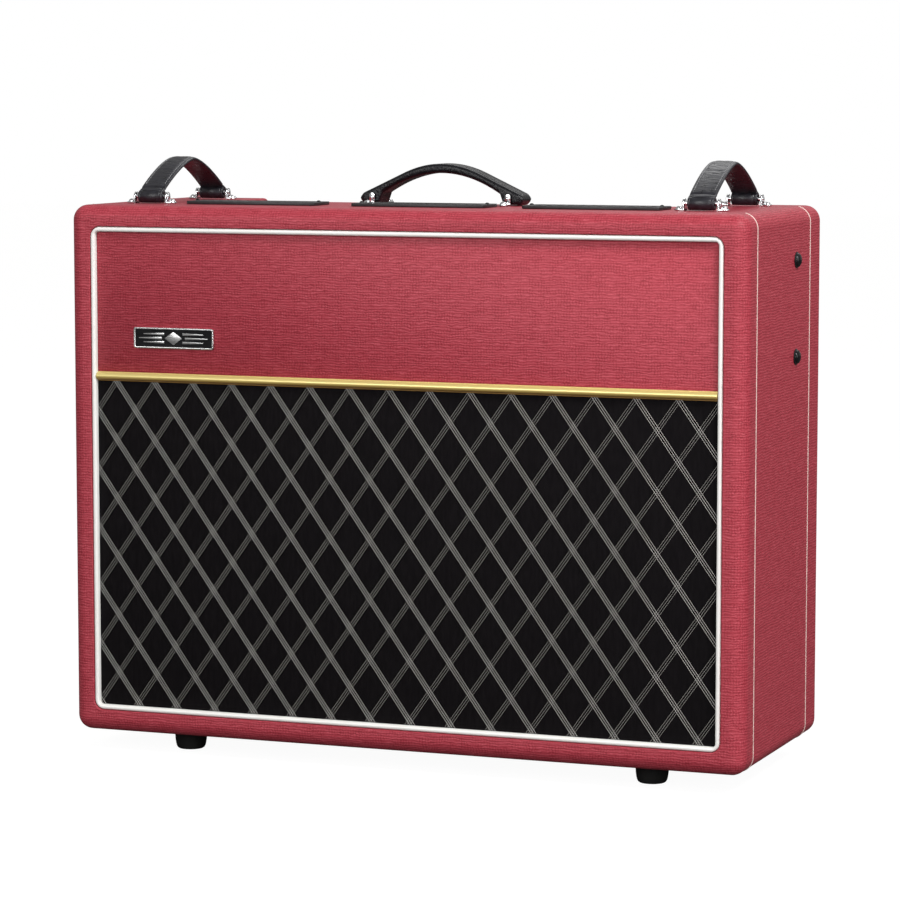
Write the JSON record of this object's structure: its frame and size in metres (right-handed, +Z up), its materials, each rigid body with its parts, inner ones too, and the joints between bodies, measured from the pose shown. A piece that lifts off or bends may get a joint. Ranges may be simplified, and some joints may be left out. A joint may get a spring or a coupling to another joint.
{
  "type": "guitar combo amplifier",
  "caption": "Valve guitar combo amplifier in a red vinyl cabinet, with diamond grille cloth, white piping, gold bead, leather handles and recessed top controls.",
  "frame": {"origin": "on the floor under the centre of the cabinet, at the underside of the feet", "axes": "+Z up, front towards -Y, +X to the right of a person facing the front"},
  "size_m": [0.712, 0.265, 0.5945],
  "materials": {
    "vinyl_board": "red basket-weave vinyl over plywood",
    "plywood": "bare birch plywood, black behind the cloth",
    "grille_cloth": "black cloth with a diamond lattice of thin pale threads",
    "white_piping": "soft white plastic bead",
    "gold_bead": "gold half-round bead",
    "badge_metal": "silver rim round a black field",
    "black_plastic": "moulded black plastic",
    "jack_plastic": "moulded black plastic",
    "rubber": "matte black rubber",
    "black_leather": "grained black leather, glossy on the folded ends",
    "chrome": "polished",
    "panel_paint": "satin black control plate",
    "chassis_steel": "zinc-plated sheet",
    "black_steel": "black oxide",
    "cone_paper": "dark pressed paper pulp",
    "speaker_metal": "stove enamel",
    "valve_glass": "clear with silver getter",
    "lamp_jewel": "red faceted jewel in a chrome ring",
    "lamination": "black laminated core"
  },
  "bodies": {
    "cabinet": {"cabinet_shell": "vinyl_board", "front_panel": "vinyl_board", "back_panel_upper": "vinyl_board", "back_panel_lower": "vinyl_board", "speaker_baffle": "plywood", "grille_cloth": "grille_cloth", "front_piping": "white_piping", "gold_strip": "gold_bead", "badge_plate": "badge_metal", "vent_left": "black_plastic", "vent_centre": "black_plastic", "vent_right": "black_plastic", "power_inlet": "black_plastic", "input_jacks": "jack_plastic", "foot_front_left": "rubber", "foot_front_right": "rubber", "foot_rear_left": "rubber", "foot_rear_right": "rubber", "strap_left": "black_leather", "strap_right": "black_leather", "strap_bracket_left_front": "chrome", "strap_bracket_left_rear": "chrome", "strap_bracket_right_front": "chrome", "strap_bracket_right_rear": "chrome", "handle_bracket_left": "chrome", "handle_bracket_right": "chrome", "control_panel": "panel_paint", "chassis": "chassis_steel", "reverb_tank": "chassis_steel", "preamp_valve_1": "chassis_steel", "preamp_valve_2": "chassis_steel", "preamp_valve_3": "chassis_steel", "chassis_bolt_left_lower": "black_steel", "chassis_bolt_left_upper": "black_steel", "chassis_bolt_right_lower": "black_steel", "chassis_bolt_right_upper": "black_steel", "speaker_frame_left": "speaker_metal", "speaker_frame_right": "speaker_metal", "power_valve_1": "valve_glass", "power_valve_2": "valve_glass", "power_valve_3": "valve_glass", "power_valve_4": "valve_glass", "pilot_lamp": "lamp_jewel", "power_transformer": "lamination", "output_transformer": "lamination"},
    "knob_normal_volume": {"knob_normal_volume": "black_plastic"},
    "knob_boost_volume": {"knob_boost_volume": "black_plastic"},
    "knob_treble": {"knob_treble": "black_plastic"},
    "knob_bass": {"knob_bass": "black_plastic"},
    "knob_reverb_tone": {"knob_reverb_tone": "black_plastic"},
    "knob_reverb_level": {"knob_reverb_level": "black_plastic"},
    "knob_tremolo_speed": {"knob_tremolo_speed": "black_plastic"},
    "knob_tremolo_depth": {"knob_tremolo_depth": "black_plastic"},
    "knob_tone_cut": {"knob_tone_cut": "black_plastic"},
    "knob_master_volume": {"knob_master_volume": "black_plastic"},
    "power_toggle": {"power_toggle": "chrome"},
    "standby_toggle": {"standby_toggle": "chrome"},
    "centre_handle": {"centre_handle": "black_leather"},
    "speaker_cone_left": {"speaker_cone_left": "cone_paper"},
    "speaker_cone_right": {"speaker_cone_right": "cone_paper"}
  },
  "joints": [
    {"name": "knob_normal_volume_turn", "type": "hinge", "parent": "cabinet", "child": "knob_normal_volume", "pos_m": [-0.085, 0.072, 0.5298], "axis": [0, 0, -1], "range_deg": [-150, 150]},
    {"name": "knob_boost_volume_turn", "type": "hinge", "parent": "cabinet", "child": "knob_boost_volume", "pos_m": [-0.0575, 0.072, 0.5298], "axis": [0, 0, -1], "range_deg": [-150, 150]},
    {"name": "knob_treble_turn", "type": "hinge", "parent": "cabinet", "child": "knob_treble", "pos_m": [-0.03, 0.072, 0.5298], "axis": [0, 0, -1], "range_deg": [-150, 150]},
    {"name": "knob_bass_turn", "type": "hinge", "parent": "cabinet", "child": "knob_bass", "pos_m": [-0.0025, 0.072, 0.5298], "axis": [0, 0, -1], "range_deg": [-150, 150]},
    {"name": "knob_reverb_tone_turn", "type": "hinge", "parent": "cabinet", "child": "knob_reverb_tone", "pos_m": [0.025, 0.072, 0.5298], "axis": [0, 0, -1], "range_deg": [-150, 150]},
    {"name": "knob_reverb_level_turn", "type": "hinge", "parent": "cabinet", "child": "knob_reverb_level", "pos_m": [0.0525, 0.072, 0.5298], "axis": [0, 0, -1], "range_deg": [-150, 150]},
    {"name": "knob_tremolo_speed_turn", "type": "hinge", "parent": "cabinet", "child": "knob_tremolo_speed", "pos_m": [0.08, 0.072, 0.5298], "axis": [0, 0, -1], "range_deg": [-150, 150]},
    {"name": "knob_tremolo_depth_turn", "type": "hinge", "parent": "cabinet", "child": "knob_tremolo_depth", "pos_m": [0.1075, 0.072, 0.5298], "axis": [0, 0, -1], "range_deg": [-150, 150]},
    {"name": "knob_tone_cut_turn", "type": "hinge", "parent": "cabinet", "child": "knob_tone_cut", "pos_m": [0.135, 0.072, 0.5298], "axis": [0, 0, -1], "range_deg": [-150, 150]},
    {"name": "knob_master_volume_turn", "type": "hinge", "parent": "cabinet", "child": "knob_master_volume", "pos_m": [0.1625, 0.072, 0.5298], "axis": [0, 0, -1], "range_deg": [-150, 150]},
    {"name": "power_toggle_flip", "type": "hinge", "parent": "cabinet", "child": "power_toggle", "pos_m": [-0.2, 0.072, 0.5305], "axis": [-1, 0, 0], "range_deg": [0, 24]},
    {"name": "standby_toggle_flip", "type": "hinge", "parent": "cabinet", "child": "standby_toggle", "pos_m": [-0.157, 0.072, 0.5305], "axis": [-1, 0, 0], "range_deg": [0, 24]},
    {"name": "centre_handle_slide", "type": "slide", "parent": "cabinet", "child": "centre_handle", "axis": [1, 0, 0], "range_m": [-0.0024, 0.0024]},
    {"name": "speaker_cone_left_travel", "type": "slide", "parent": "cabinet", "child": "speaker_cone_left", "axis": [0, -1, 0], "range_m": [-0.003, 0.003], "stiffness_N_per_m": 2000},
    {"name": "speaker_cone_right_travel", "type": "slide", "parent": "cabinet", "child": "speaker_cone_right", "axis": [0, -1, 0], "range_m": [-0.003, 0.003], "stiffness_N_per_m": 2000}
  ]
}
